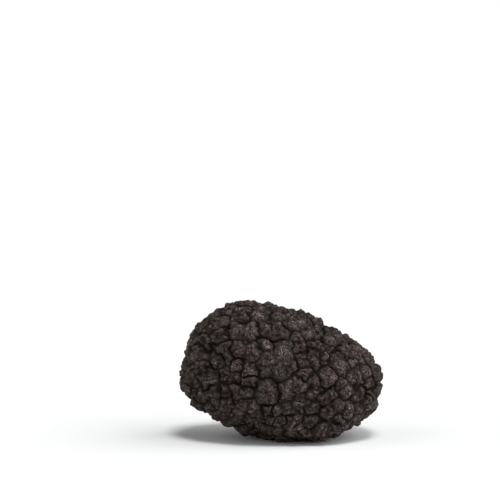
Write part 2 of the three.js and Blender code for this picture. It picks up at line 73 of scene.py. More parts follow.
# Warts on the face that shows most, each with its lobes: across, up, radius
VIEW_RISE = math.radians(8.7)
FACE_RISE = 0.7  # from the body's middle up to the middle of the places
PLACED_WARTS = [
    [(0.4, 4.5, 2), (-3.2, 2.6, 1.5), (-3.4, 0.2, 1.2), (-0.9, -0.4, 1.5), (1.5, 0.9, 1.2)],
    [(4.4, 3.6, 1.1), (6.9, 4.2, 1.2), (4.8, 1.8, 1.3), (7.2, 1.7, 1.2)],
    [(-9.2, 4.5, 1.8), (-6.3, 4.2, 1.8)],
    [(-3.4, -4.2, 2.6)],
    [(0.9, -3.6, 1.9), (3.4, -3, 1.6)],
    [(-9.6, 8.4, 1.6), (-6.9, 8.2, 1.7)],
    [(-3.9, 8.9, 1.3), (-1.5, 9.6, 1.2), (-0.2, 8.3, 1.1), (-2.4, 7.6, 1.1)],
    [(-3.6, 5.9, 1.4)],
    [(-5.2, 11.7, 1.9)],
    [(-0.9, 11.9, 1.6)],
    [(4, 5.3, 1.6), (3.4, 7.1, 1)],
    [(2, 9.8, 1.3), (3.9, 10.4, 1.2)],
    [(7.8, 5.8, 1.7)],
    [(5.8, 8.3, 1.4), (7.9, 8.1, 1.1)],
    [(9.3, 3.3, 1.1), (9, 1.8, 0.8)],
    [(12.2, 1.9, 2.1)],
    [(9.4, -1.1, 2)],
    [(6.6, -4.4, 1.4), (6.9, -2.2, 1)],
    [(9, -5.9, 1.3), (10.6, -4.7, 1.4)],
    [(13.5, -4.6, 1.4), (12.3, -2.9, 1)],
    [(4.6, -0.6, 1.3)],
    [(3.6, -6.6, 1.6)],
    [(6.4, -7.9, 1.4)],
    [(9.6, -8.2, 1.3), (11.6, -7.2, 1.2)],
    [(1, -8, 1.1), (-1.1, -8.2, 1.1)],
    [(-3.3, -8.2, 1.2)],
    [(2.6, -10.7, 1.7)],
    [(-7.6, 0.3, 1.6)],
    [(-7.2, -2.1, 1.2)],
    [(-12.2, -0.6, 1.3), (-10.4, -1.2, 1.3)],
    [(-9.8, 1.5, 1)],
    [(-9.5, -4.3, 1.4), (-7.5, -4.4, 1.4)],
    [(-12, -4.4, 1.2)],
    [(-11.2, -6.4, 1.5)],
    [(-8.2, -6.7, 1.3), (-6.4, -7.1, 1.4), (-5.4, -8.6, 0.9)],
    [(-9.8, -9, 1.4)],
    [(-12.4, 7.3, 1.5)],
    [(-14, 8.9, 1.3), (-12.6, 9.6, 0.9)],
    [(-12, 5, 1.2), (-11.6, 2.9, 1.1)],
    [(-13.6, 2.2, 1.4)],
    [(-17, 3.2, 1.1), (-17, 1.1, 1.2)],
    [(-15.6, 6.2, 1.4), (-17.6, 6.6, 1.2)],
    [(-13.2, 11.7, 1.6)],
    [(-15.5, 11, 1.1)],
    [(-8, 12.4, 1.2), (-8.4, 11.2, 0.9)],
    [(-10.3, 12.3, 1.2)],
    [(-16, 9, 1.3), (-18, 8.6, 1.1)],
    [(-15.8, -0.8, 1.3), (-14.5, -0.1, 1), (-15.2, -2.3, 1.1)],
    [(-18.7, -1.4, 1.3)],
    [(-18.8, -3.8, 1.2)],
    [(-18.6, -5.4, 1.2)],
    [(-16.2, -5.1, 1.1), (-14.3, -4.2, 1.1)],
    [(-14, -6.6, 1.2)],
    [(-13.1, -9, 1.2)],
    [(15.9, -0.9, 1.9)],
    [(18.3, -0.2, 1.4)],
    [(15.2, 1.8, 1.1)],
    [(16.7, 3, 1.2)],
    [(14.1, 3.4, 1.2), (14.2, 5, 1)],
    [(10.5, 5.2, 1.1)],
    [(10.6, 7.2, 1.3), (12.6, 6.8, 1.1)],
    [(9.2, 8.7, 1)],
    [(13.8, -8.5, 1.4)],
    [(16.6, -5, 1.4)],
    [(16.6, -7.4, 1.3)],
    [(19.3, -4.4, 1.3)],
    [(12.8, -11.5, 1.7)],
    [(15.9, -10.1, 1.3)],
    [(8.2, -11.7, 1.7), (10.3, -11.4, 1.2)],
    [(2.2, -13.4, 1.4)],
    [(-7, -10.7, 1.3)],
    [(-4.7, -10.5, 1.1)],
    [(-2.6, -10.4, 1.1), (-0.5, -10.5, 1.1)],
    [(-5, -12.6, 1.3)],
    [(-2.8, -12.5, 1.1), (-0.8, -12.7, 1.1)],
    [(5.3, -12.6, 1.2)],
]
# Warts that it lies on: along, through, radius
FOOT_WARTS = [
    (0.4, 0, 2.6),
    (5.4, 1.6, 2.4),
    (4.8, -2.8, 2),
    (-1.6, 4, 2),
    (-3, -3.4, 2.1),
    (-4.2, 0.8, 1.8),
    (9.2, -1, 1.9),
]
# Seeded warts fill what is left: radius and how many are tried
SCATTERED_SIZES = [(2.7, 260), (2.1, 500), (1.6, 1000), (1.2, 2600)]
SIZE_SPREAD = 0.2
CLOSENESS = 0.82  # how near two may be, as a share of their radii together
LOBED_FROM = 1.8
FEWEST_LOBES = 2
MORE_LOBES = 3
LOBE_REACH = 0.5
LOBE_UNEVENNESS = 0.3
LOBE_RADII = (1, 1, 0.58, 0.54, 0.5)  # by the number of lobes

# Relief of the warts, as in the solid: how high they rise, the shares of that, the soil
# in the fissures, and how wide and how crooked the fissures are
RISE_PER_RADIUS = 0.5
LEAST_RISE = 0.35
MOST_RISE = 1.8
MEAN_RISE = 1.0
RISE_SPREAD = 0.25
FLANK = 0.12
FLANK_SHARE = 0.18
CROWN_SHARE = 0.5
LOBE_SHARE = 0.32
LOBE_SPREAD = 0.4
LOBE_LEAN = 0.5
CLEAR_RADIUS = 0.9
LOBE_CRACK = 0.2
LOBE_CRACK_DEPTH = 0.08
FILLED = 0.18
FILLED_SPREAD = 0.24
FILLED_SIZE = 6
FILLED_WAVES = 10
FILLED_ROUNDING = 0.1
OPENING_SIZE = 6
OPENING_SPREAD = 0.6
OPENING_WAVES = 10
FISSURE_WAVE = 3.2
FISSURE_SWAY = 0.35
SWAY_WAVES = 8
SEED = 1729

# The fine mesh: squares along a side of each of its six patches, and how far from a
# fissure its points are drawn in, so that fissures are crisp
PATCH_SQUARES = 128
DRAWN_FROM = 0.4
DRAWN_SHARE = 0.6
NEAREST_CELLS = 8  # borders that are looked at round a point
CHUNK = 16384  # directions that are worked out at a time

# One random point in each cell of a lattice: large factors scramble the cell's place
LATTICE_FACTORS = np.array([127.1, 311.7, 74.7])
LATTICE_RATES = np.array([1.0, 1.37, 1.91])
LATTICE_STRETCH = 43758.5453

# A small wobble along the fissures
WOBBLE_SIZE = 1.3
WOBBLE = 0.17
WOBBLE_WAVES = 12

# Fissures are open or shut: one draw for each pair of warts, and where two fissures meet,
# one goes over to the other within this reach
PAIR_DRAW = 146.0
PAIR_REACH = 0.3
OPEN_DRAWS = (0.05, 0.65)  # shut below the first, wide open above the second

# Bridges of rind fill a share of a fissure's depth: by waves, more where it is shut, and
# more at the left end, which begins and is reached so far left of the middle
BRIDGE_SIZE = 2.4
BRIDGE_WAVES = 14
BRIDGED = 0.16
BRIDGED_SPREAD = 0.3
SHUT = 0.3
END_BRIDGED = 0.15
END_FROM_TO = (7, 14)
MOST_BRIDGED = 0.65
BRIDGE_ROUNDING = 0.06

# How far a fissure gapes, and so how dark its painted shade is: from its depth and how far
# it is bridged, less where it is shut
GAPING_DEPTHS = (0.5, 1.2)
CLOSING_BRIDGES = (0.2, 0.6)
SHUT_GAPE = 0.2

# Nodules on the crowns with creases between them, and granules on the nodules. Waves bend
# them out of round, and wipe out some of the creases.
BENT_SIZE = 1.6
BENT_WAVES = 10
BENT = 0.25
NODULE_DRAW = 1.0
NODULE_SIZE = 1.6
NODULE_REACH = 0.8  # where a dome ends, as a share of its size
NODULE_HEIGHT = 0.26
NODULE_CREASE = 0.1
GRANULE_DRAW = 2.0
GRANULE_SIZE = 0.9
GRANULE_HEIGHT = 0.17
GRANULE_CREASE = 0.05
GRANULE_CREASE_SHARE = 0.5  # how strongly their creases add to the painted shade in creases
MEAN_DOME = 0.5  # the height from which domes rise and sink
CREASE_WIDTH = 0.16  # as a share of the size, too
BROKEN_SIZE = 2.2
BROKEN_WAVES = 16
BROKEN_FROM_TO = (-0.9, 0.6)

# How rough the rind is: on flanks, more so on crowns, and more at the left end
FLANK_ROUGH = 0.45
CROWN_ROUGH = 0.55
ROUGH_CROWNS = (0.25, 0.8)
END_ROUGH = 0.5

# Cracks that run out from the middle of some lobes, like a star's rays
STAR_DRAW = 5.0
STAR_SHARE = 0.7  # of the lobes
LOBE_PLACES = np.array([1.0, 2.0, 3.0])  # a lobe's number times these is its lattice cell
FEWEST_RAYS = 3
MORE_RAYS = 3
STAR_TURN = 6  # the most that a draw adds to the phase of its rays
STAR_BEND = 0.9
STAR_REACH = 0.6
STAR_END = 1.3
STAR_FADE = 0.6
STAR_WIDTH = 0.12
STAR_DEPTH = 0.22

# Streaks down the flanks, from a pattern that is shifted from lobe to lobe
STREAK_SIZE = 0.8
STREAK_WAVES = 16
STREAK_SHIFT = 7.0
STREAK_HEIGHT = 0.07
STREAKED_CROWNS = (1.0, 0.6)  # none on a crown's top, and whole from here down
NO_LENGTH = 1e-9  # keeps an offset from being nothing at all

# The deepest pits are filled, down to a depth below the rind round them
PIT_ROUNDS = 40
PIT_DEPTH = 0.22
PIT_ROUNDING = 0.05

# Patterns for the colours: the painted shade of a dark line in a fissure and beside it, the
# painted shade of hollows and painted highlight of edges, and two draws for each wart
FISSURE_LINE = 0.2  # mm, times the fissure's opening
WIDEST_LINE = 1.2  # the opening past which it gets no wider
SHUT_LINE = 0.3  # its strength where a fissure is shut, and what gaping adds
GAPING_LINE = 0.9
HOLLOW_REACH = 0.15  # mm, and what gaping adds
GAPING_REACH = 0.2
CAVITY_ROUNDS = 10
CAVITY_DEPTH = 0.12
TINT_DRAW = 4.0
HUE_DRAW = 9.0
POINT_PATTERNS = (
    "fissure",
    "hollow",
    "crown",
    "crease",
    "star",
    "tint",
    "hue",
    "granule",
    "streak",
    "cavity",
)

# Noise over the rind: the size of its patches in mm, finer layers, and their strength.
# A truffle's own grains are under 0.1 mm, which is less than half a pixel of the picture,
# so specks, grit and crumbs are drawn several times as coarse to show at all.
NOISES = {
    "patches": (5.0, 2.0, 0.6),
    "mottle": (1.6, 3.0, 0.6),
    "specks": (0.5, 3.0, 0.7),
    "grit": (0.28, 4.0, 0.7),
    "breaks": (2.6, 1.0, 0.6),
    "dots": (0.7, 2.0, 0.6),
    "blushes": (3.5, 1.0, 0.6),
    "bare_patches": (3.0, 1.0, 0.6),
    "pores": (0.4, 3.0, 0.7),
    "soiled_sides": (7.0, 1.0, 0.6),
    "clots": (0.6, 2.0, 0.6),
}
CRUMB_SIZE = 0.34  # mm, as are the sizes of the plates between wrinkles
WRINKLE_SIZES = {"coarse_wrinkles": 0.95, "fine_wrinkles": 0.5}
WRINKLE_WARP = (1.2, 2.0, 0.5)  # the noise that bends them: size, layers, strength
WRINKLE_BEND = 0.9

# The first colours: two for each of the flanks and crowns, and the patterns that lead
# from one to the other. The warts' crowns go from brown to grey.
FLANKS = ("#373431", "#46423e", [("patches", 0.4, 0.6)])
BROWN_CROWNS = ("#352526", "#4b3938", [("mottle", 0.35, 0.65)])
GREY_CROWNS = ("#2f2d2a", "#43403d", [("mottle", 0.35, 0.65)])
WART_BY_WART = [("hue", 0.2, 0.8)]
BLUSH = ("#4e3735", [("blushes", 0.52, 0.62, 0.0, 0.6)])
UP_THE_CROWNS = [("crown", 0.35, 0.85)]

# Coats over them, one on another: a colour, and the patterns that it follows. A pattern is
# used as it is, or with the values between which it changes and the coat's thickness there.
GRITTY = [("patches", 0.42, 0.54, 0.25, 1.0), ("crown", 0.5, 0.95, 0.05, 1.0)]
COATS = [
    # Some warts are darker than others
    ("#221e1b", [("tint", 0.0, 1.0, 0.0, 0.55)]),
    # Streaks down the flanks: painted shade in their furrows and painted highlight on their ridges
    ("#1a1714", [("streak", -0.3, -1.5, 0.0, 0.5)]),
    ("#625d59", [("streak", 0.3, 1.5, 0.0, 0.3)]),
    # Pale and dark specks and grit, most of all on the crowns: the pale ones are partly mineral
    # grains and partly painted glints
    ("#a09290", [("specks", 0.5, 0.6), *GRITTY]),
    ("#1f0d0a", [("specks", 0.48, 0.38), *GRITTY]),
    ("#ada09c", [("grit", 0.54, 0.61), *GRITTY]),
    ("#160a06", [("grit", 0.47, 0.35), *GRITTY]),
    # Dark pores in the middle of some crowns
    ("#2b0f0e", [("pores", 0.5, 0.4), ("crown", 0.72, 0.95), ("bare_patches", 0.42, 0.56)]),
    # Clots of soil
    ("#6e563a", [("soiled_sides", 0.54, 0.66), ("clots", 0.52, 0.64), ("dots", 0.4, 0.55, 0.0, 0.7)]),
    # Painted highlight on edges, painted shade in hollows, and painted highlight on the granules'
    # tops
    ("#625753", [("cavity", 0.1, 1.5, 0.0, 0.45)]),
    ("#190f08", [("cavity", -0.2, -1.7, 0.0, 0.7)]),
    ("#6a605d", [("granule", 0.35, 0.85, 0.0, 0.3)]),
    # Painted shade in the wrinkles and creases
    ("#1b0f09", [("coarse_wrinkles", 0.14, 0.0, 0.0, 0.75)]),
    ("#1f120b", [("fine_wrinkles", 0.16, 0.0, 0.0, 0.55)]),
    ("#1a0f08", [("crease",), ("breaks", 0.4, 0.6)]),
    # The painted shade beside a fissure, the painted shade in the star cracks, and the black
    # line of painted shade in a fissure
    ("#180d07", [("hollow", 0.25, 0.9, 0.0, 0.5)]),
    ("#1f0908", [("star",), ("dots", 0.35, 0.52)]),
    (
        "#0a0401",
        [("fissure", 0.1, 0.42), ("breaks", 0.38, 0.52, 0.65, 1.0), ("dots", 0.36, 0.5, 0.8, 1.0)],
    ),
]

# Bump, finer than the mesh: heights in mm of grains and of the plates between wrinkles
GRAIN_HEIGHT = 0.05
PLATE_HEIGHT = 0.1
BUMP_STRENGTH = 0.6
PLATES = {"coarse_wrinkles": (0.0, 0.3, 0.0, 1.0), "fine_wrinkles": (0.0, 0.3, 0.0, 0.6)}
ROUGHNESS = (0.3, 0.7, 0.7, 0.88)  # a little less matt where the mottle is low

# Sockets of the node that mixes two colours, and of the one that ranges a value smoothly
MIX_FACTOR = 0
MIX_BELOW = 6
MIX_OVER = 7
MIX_RESULT = 2
RANGE_LIMITS = ("From Min", "From Max", "To Min", "To Max")
SMOOTH = {"interpolation_type": "SMOOTHSTEP"}

# The floor, in mm: a hair under the truffle, and far past the horizon of a low view
FLOOR_HALF = 40000
FLOOR_LEVEL = -0.02
PALE = "#f1f3f4"

# Lamps: degrees to the right of the front and above the floor, strength, and the degrees
# that they spread over, which soften their shadows
LAMPS = {
    "key": (18, 66, 1.82, 18),
    "right": (78, 34, 2.05, 75),
    "left": (-75, 30, 0.73, 60),
}
# The room's own light: pale at the horizon and dim above, between heights that are the
# sines of angles
ROOM_COLOUR = "#fffaf6"
HORIZON_GLOW = 1.1
ROOM_GLOW = 0.18
GLOW_HEIGHTS = (0.02, 0.12)

# The camera: on the front, a little above level, with a long lens
CAMERA_DISTANCE = 720
TRUFFLE_MIDDLE = Vector((0, 0, 14.2))
PIXELS = 500  # the photograph's frame
MM_PER_PIXEL = 0.212
TRUFFLE_AT = (281.5, 371.5)  # pixels, where the truffle's middle is seen
SENSOR = 36
NEAREST_SEEN = 0.01  # metres
FURTHEST_SEEN = 100


def make_random(seed):
    """Seeded draws from 0 to 1: the state times 7 to the 5th, modulo 2 to the 31st less 1."""
    state = seed

    def draw():
        nonlocal state
        state = state * 16807 % 2147483647
        return state / 2147483647

    return draw


def unit(vectors):
    """Vectors scaled to length 1."""
    return vectors / np.linalg.norm(vectors, axis=-1, keepdims=True)


def random_direction(draw):
    """A direction drawn evenly over the sphere: an even height and an even turn."""
    height = 2 * draw() - 1
    turn = 2 * math.pi * draw()
    reach = math.sqrt(1 - height * height)
    return np.array([reach * math.cos(turn), reach * math.sin(turn), height])


def make_waves(seed, count, length):
    """Plane waves of one length in random directions: their wave vectors and phases."""
    draw = make_random(seed)
    vectors = []
    phases = []
    for _ in range(count):
        vectors.append(random_direction(draw) * 2 * math.pi / length)
        phases.append(2 * math.pi * draw())
    return np.array(vectors), np.array(phases)


def wave_value(waves, points):
    """A smooth random pattern: the waves' cosines, summed, over the root of their count."""
    vectors, phases = waves
    return np.cos(points @ vectors.T + phases).sum(axis=-1) / math.sqrt(len(phases))


def rounded_max(a, b, rounding):
    """The larger of two heights, with a hyperbola for the change from one to the other."""
    return (a + b + np.sqrt((a - b) ** 2 + rounding**2)) / 2


def dome(share):
    """A rounded rise from 0 at the edge to 1 at the middle: a parabola's crown."""
    return 1 - (1 - np.minimum(1, share)) ** 2


LUMPS = make_waves(SEED, LUMP_WAVES, LUMP_SIZE)
FILLING = make_waves(SEED + 1, FILLED_WAVES, FILLED_SIZE)
SWAYS = [make_waves(SEED + offset, SWAY_WAVES, FISSURE_WAVE) for offset in (2, 3, 4)]
OPENINGS = make_waves(SEED + 7, OPENING_WAVES, OPENING_SIZE)
WOBBLES = [make_waves(SEED + offset, WOBBLE_WAVES, WOBBLE_SIZE) for offset in (8, 9, 10)]
BENDS = [make_waves(SEED + offset, BENT_WAVES, BENT_SIZE) for offset in (11, 12, 13)]
BREAKS = make_waves(SEED + 14, BROKEN_WAVES, BROKEN_SIZE)
STREAKS = make_waves(SEED + 15, STREAK_WAVES, STREAK_SIZE)
BRIDGES = make_waves(SEED + 127, BRIDGE_WAVES, BRIDGE_SIZE)


def body_radius(directions):
    """Distance from the middle to the body's surface in each direction.

    A blunt ellipsoid, the swellings as bell curves of the angle, and seeded lumps.
    """
    along = np.abs(directions[..., 0]) / HALF_LENGTH
    across = np.hypot(directions[..., 1] / HALF_DEPTH, directions[..., 2] / HALF_HEIGHT)
    radius = (along**BLUNTNESS + across**BLUNTNESS) ** (-1 / BLUNTNESS)
    for toward, height, spread in SWELLINGS:
        cosine = directions @ unit(np.array(toward))
        angle = np.arccos(np.clip(cosine, -1, 1))
        radius = radius + height * np.exp(-0.5 * (angle / math.radians(spread)) ** 2)
    return radius + LUMP_HEIGHT * wave_value(LUMPS, directions * MEAN_RADIUS)


def tilted(points, angle):
    """Points turned about the Y axis."""
    turned = points.copy()
    turned[..., 0] = points[..., 0] * math.cos(angle) + points[..., 2] * math.sin(angle)
    turned[..., 2] = points[..., 2] * math.cos(angle) - points[..., 0] * math.sin(angle)
    return turned


def body_points(directions):
    """The body's surface as it lies: tilted, set on its foot, and flattened there."""
    points = tilted(directions * body_radius(directions)[..., None], TILT) + CENTRE
    points[..., 2] = rounded_max(points[..., 2], FOOT_LEVEL, FOOT_ROUNDING)
    return points


def sides_of(directions):
    """For each direction, two more that are square to it and to each other."""
    pole = np.where(np.abs(directions[..., 2:]) < NEAR_POLE, (0.0, 0.0, 1.0), (1.0, 0.0, 0.0))
    sideways = unit(np.cross(pole, directions))
    return sideways, np.cross(directions, sideways)


def body_normals(directions):
    """The body's outward normals, from points a small step to either side."""
    slopes = []
    for step in sides_of(directions):
        ahead = body_points(unit(directions + NORMAL_STEP * step))
        behind = body_points(unit(directions - NORMAL_STEP * step))
        slopes.append(ahead - behind)
    return unit(np.cross(slopes[0], slopes[1]))


def straightened(directions):
    """Where each direction falls in the diagram of straight fissures: shifted by waves."""
    points = directions * MEAN_RADIUS
    shift = FISSURE_SWAY * np.stack([wave_value(waves, points) for waves in SWAYS], axis=-1)
    shift += WOBBLE * np.stack([wave_value(waves, points) for waves in WOBBLES], axis=-1)
    return unit(directions + shift / MEAN_RADIUS)


def front_direction(across, up):
    """The direction of a place on the front face, given as it is seen."""
    up = up + FACE_RISE
    along = across * math.cos(TILT) - up * math.sin(TILT)
    above = across * math.sin(TILT) + up * math.cos(TILT)
    share = math.hypot(along / (HALF_LENGTH + MEAN_RISE), above / (HALF_HEIGHT + MEAN_RISE))
    near = (HALF_DEPTH + MEAN_RISE) * math.sqrt(max(0, 1 - share**2))
    y = above * math.sin(VIEW_RISE) - near * math.cos(VIEW_RISE)
    z = above * math.cos(VIEW_RISE) + near * math.sin(VIEW_RISE)
    return unit(np.array([along, y, z]))


def foot_direction(along, through):
    """The direction of a place on the underside."""
    return unit(tilted(np.array([along, through, FOOT_LEVEL]) - CENTRE, -TILT))


def placed_warts():
    """Each wart as its middle, its radius, and its lobes as pairs of middle and radius."""
    warts = []
    for places in PLACED_WARTS:
        lobes = [(front_direction(across, up), radius) for across, up, radius in places]
        middle = unit(sum(direction * radius for direction, radius in lobes))
        size = float(body_radius(middle))
        reach = [
            math.acos(min(1, float(middle @ direction))) * size + radius
            for direction, radius in lobes
        ]
        warts.append((middle, (max(reach) + min(reach)) / 2, lobes))
    for along, through, radius in FOOT_WARTS:
        direction = foot_direction(along, through)
        warts.append((direction, radius, [(direction, radius)]))
    return warts


def seeded_lobes(direction, radius, draw):
    """Two to four lobes round the middle of a large seeded wart, or the wart itself."""
    if radius < LOBED_FROM:
        return [(direction, radius)]
    count = FEWEST_LOBES + math.floor(MORE_LOBES * draw())
    start = 2 * math.pi * draw()
    sideways, upwards = sides_of(direction)
    reach = LOBE_REACH * radius / MEAN_RADIUS
    lobes = []
    for i in range(count):
        turn = start + 2 * math.pi * (i + LOBE_UNEVENNESS * draw()) / count
        outward = sideways * math.cos(turn) + upwards * math.sin(turn)
        lobes.append((unit(direction + outward * reach), radius * LOBE_RADII[count]))
    return lobes


def scatter_warts(warts):
    """Adds seeded warts wherever there is room for one, the largest first."""
    draw = make_random(SEED + 5)
    middles = [middle for middle, _, _ in warts]
    angles = [radius / float(body_radius(middle)) for middle, radius, _ in warts]
    for radius, tries in SCATTERED_SIZES:
        for _ in range(tries):
            direction = random_direction(draw)
            size = radius * (1 + SIZE_SPREAD * (draw() - 0.5))
            angle = size / float(body_radius(direction))
            apart = np.arccos(np.clip(np.array(middles) @ direction, -1, 1))
            if (apart > CLOSENESS * (np.array(angles) + angle)).all():
                warts.append((direction, size, seeded_lobes(direction, size, draw)))
                middles.append(direction)
                angles.append(angle)


def make_cells():
    """Every lobe as a cell: its pole, its wart's number, its radius and its wart's.

    The pole is the lobe's direction drawn out by one over the cosine of its angular radius,
    so that a direction belongs to the cell whose pole reaches furthest along it.
    """
    warts = placed_warts()
    scatter_warts(warts)
    draw = make_random(SEED + 6)
    rows = []
    for number, (_, wart_radius, lobes) in enumerate(warts):
        rise = min(MOST_RISE, LEAST_RISE + RISE_PER_RADIUS * wart_radius)
        rise *= 1 + RISE_SPREAD * (2 * draw() - 1)
        for direction, radius in lobes:
            pole = direction / math.cos(radius / float(body_radius(direction)))
            swell = 1 + LOBE_SPREAD * (2 * draw() - 1)
            lean = random_direction(draw) * LOBE_LEAN
            rows.append((pole, direction, number, radius, wart_radius, rise, swell, lean))
    names = ("poles", "middle", "wart", "radius", "wart_radius", "rise", "swell", "lean")
    return {name: np.array(values) for name, values in zip(names, zip(*rows))}


def nearest_borders(directions, radius, cells):
    """For each direction: its cell, and the distance to its border with each near cell.

    A border is the plane through the middle where two poles reach equally far, so the
    distance is the difference of their reach over the distance between the poles.
    """
    straight = straightened(directions)
    owns = []
    others = []
    distances = []
    for start in range(0, len(directions), CHUNK):
        part = slice(start, start + CHUNK)
        scores = straight[part] @ cells["poles"].T
        near = np.argpartition(-scores, NEAREST_CELLS, axis=1)[:, : NEAREST_CELLS + 1]
        reach = np.take_along_axis(scores, near, axis=1)
        order = np.argsort(-reach, axis=1)
        near = np.take_along_axis(near, order, axis=1)
        reach = np.take_along_axis(reach, order, axis=1)
        gap = cells["poles"][near[:, :1]] - cells["poles"][near[:, 1:]]
        between = np.linalg.norm(gap, axis=2)
        owns.append(near[:, 0])
        others.append(near[:, 1:])
        distances.append(radius[part, None] * (reach[:, :1] - reach[:, 1:]) / between)
    return np.concatenate(owns), np.concatenate(others), np.concatenate(distances)


def drawn_to_fissures(directions, cells):
    """Directions moved towards the fissures near them, by a bell curve of the distance."""
    radius = body_radius(directions)
    own, others, distances = nearest_borders(directions, radius, cells)
    toward = unit(cells["poles"][others] - cells["poles"][own][:, None])
    shares = DRAWN_SHARE * np.exp(-((distances / DRAWN_FROM) ** 2))
    shift = (toward * (shares * distances / radius[:, None])[..., None]).sum(axis=1)
    return unit(directions + shift)


def lattice_points(cells, seed):
    """One random point in each cell of a cubic lattice: the fraction of a large sine."""
    phase = cells @ LATTICE_FACTORS + seed
    waves = np.sin(phase[..., None] * LATTICE_RATES) * LATTICE_STRETCH
    return cells + waves - np.floor(waves)


def cellular(points, size, seed):
    """Distances to the nearest and next nearest random point, as shares of the size.

    One random point lies in each cell of a cubic lattice, so the cells round a point's own
    hold both.
    """
    scaled = points / size
    home = np.floor(scaled)
    nearest = np.full(len(points), np.inf)
    second = np.full(len(points), np.inf)
    for offset in itertools.product((-1, 0, 1), repeat=3):
        spots = lattice_points(home + offset, seed)
        distance = np.linalg.norm(scaled - spots, axis=1)
        second = np.minimum(second, np.maximum(nearest, distance))
        nearest = np.minimum(nearest, distance)
    return nearest, second


def smooth_step(values, low, high):
    """0 below low, 1 above high, and a cubic's easy change between them."""
    share = np.clip((values - low) / (high - low), 0, 1)
    return share * share * (3 - 2 * share)


def nodules(points, size, seed):
    """Parabolic domes round random points, and the creases between them, which fade
    exponentially from the line that is equally far from two points."""
    nearest, second = cellular(points, size, seed)
    domes = 1 - np.minimum(1, nearest / NODULE_REACH) ** 2
    return domes, np.exp(-(second - nearest) / CREASE_WIDTH)


def star_cracks(directions, radius, own, cells):
    """Cracks that run out from the middle of some lobes: bell curves of the distance from
    rays at even, waved turns."""
    middles = cells["middle"][own]
    sideways, upwards = sides_of(middles)
    offset = (directions - middles) * radius[:, None]
    across = (offset * sideways).sum(axis=1)
    along = (offset * upwards).sum(axis=1)
    reach = np.hypot(across, along)
    draws = lattice_points(own[:, None] * LOBE_PLACES, STAR_DRAW) % 1
    count = FEWEST_RAYS + np.floor(MORE_RAYS * draws[:, 0])
    turn = np.arctan2(along, across) * count / 2 + STAR_TURN * draws[:, 1]
    turn += STAR_BEND * wave_value(BENDS[0], directions * MEAN_RADIUS)
    aside = reach * np.abs(np.sin(turn)) * 2 / count
    out = reach / (STAR_REACH * cells["radius"][own])
    strength = (draws[:, 2] < STAR_SHARE) * smooth_step(STAR_END - out, 0, STAR_FADE)
    return strength * np.exp(-((aside / STAR_WIDTH) ** 2))


def streaks(directions, own, cells):
    """A pattern that runs down each lobe: waves of the way out from its middle alone."""
    offset = directions - cells["middle"][own]
    outward = unit(offset + NO_LENGTH)
    places = outward * cells["radius"][own][:, None] + own[:, None] * STREAK_SHIFT
    return wave_value(STREAKS, places)


def places_on_warts(directions, cells):
    """Where each direction lies: the body's radius there, its own lobe, the lobes near it,
    the distances to their fissures and to the nearest crack inside its wart, how wide
    the fissures are there, and how near it is to the left end."""
    radius = body_radius(directions)
    own, others, distances = nearest_borders(directions, radius, cells)
    same = cells["wart"][others] == cells["wart"][own][:, None]
    across = np.where(same, np.inf, distances)
    points = directions * MEAN_RADIUS
    return {
        "radius": radius,
        "own": own,
        "others": others,
        "across": across,
        "to_fissure": across.min(axis=1),
        "to_crack": np.where(same, distances, np.inf).min(axis=1),
        "opening": 2 ** (OPENING_SPREAD * wave_value(OPENINGS, points)),
        "left_end": smooth_step(-points[:, 0], *END_FROM_TO),
    }


def wart_relief(directions, places, cells):
    """The warts' height above the body, and how far up each flank, crown and lobe is.

    A wart rises from its fissure by an exponential flank, then a domed crown, and a lower
    dome for each lobe, which leans to one side, less the crack between lobes.
    """
    own = places["own"]
    to_fissure = places["to_fissure"]
    to_border = np.minimum(to_fissure, places["to_crack"])
    flank = 1 - np.exp(-to_fissure / (FLANK * places["opening"]))
    crown = dome(to_fissure / (CLEAR_RADIUS * cells["wart_radius"][own]))
    lobe = dome(to_border / (CLEAR_RADIUS * cells["radius"][own]))
    offset = (directions - cells["middle"][own]) * places["radius"][:, None]
    lean = (offset * cells["lean"][own]).sum(axis=1) / cells["radius"][own]
    crack = np.exp(-places["to_crack"] / LOBE_CRACK) * flank
    shares = FLANK_SHARE * flank + CROWN_SHARE * crown - LOBE_CRACK_DEPTH * crack
    shares += LOBE_SHARE * lobe * (cells["swell"][own] + lean)
    return cells["rise"][own] * shares, flank, crown, lobe


def fissure_openness(places, cells):
    """How far fissures open, from 0 to 1: one draw for each pair of warts, averaged over
    the pairs near a point with weights that fall off exponentially with distance."""
    across = places["across"]
    others = places["others"]
    here = np.broadcast_to(cells["wart"][places["own"]][:, None], others.shape)
    pairs = np.sort(np.stack([here, cells["wart"][others]], axis=-1), axis=-1)
    draws = lattice_points(np.concatenate([pairs, pairs[..., :1]], axis=-1), PAIR_DRAW)[..., 0] % 1
    weights = np.exp(-(across - across.min(axis=1)[:, None]) / PAIR_REACH)
    weights /= weights.sum(axis=1)[:, None]
    return (weights * smooth_step(draws, *OPEN_DRAWS)).sum(axis=1)


def filled_fissures(height, directions, places, cells):
    """Heights with the fissures partly filled, and how far each gapes, from 0 to 1.

    Soil fills them up to a waved level, and bridges of rind up to a share of their depth.
    A deep fissure gapes, less where it is bridged or shut.
    """
    points = directions * MEAN_RADIUS
    soil = np.maximum(0, FILLED + FILLED_SPREAD * wave_value(FILLING, points))
    height = rounded_max(height, soil, FILLED_ROUNDING)

    nearest = places["across"].argmin(axis=1)[:, None]
    beyond = np.take_along_axis(places["others"], nearest, axis=1)[:, 0]
    depth = np.minimum(cells["rise"][places["own"]], cells["rise"][beyond])
    openness = fissure_openness(places, cells)
    bridged = BRIDGED + BRIDGED_SPREAD * wave_value(BRIDGES, points)
    shallow = bridged + END_BRIDGED * places["left_end"] + SHUT * (1 - openness)
    shallow = np.clip(shallow, 0, MOST_BRIDGED)
    gape = smooth_step(depth, *GAPING_DEPTHS) * (1 - smooth_step(bridged, *CLOSING_BRIDGES))
    gape *= SHUT_GAPE + (1 - SHUT_GAPE) * openness
    return rounded_max(height, shallow * depth, BRIDGE_ROUNDING), gape


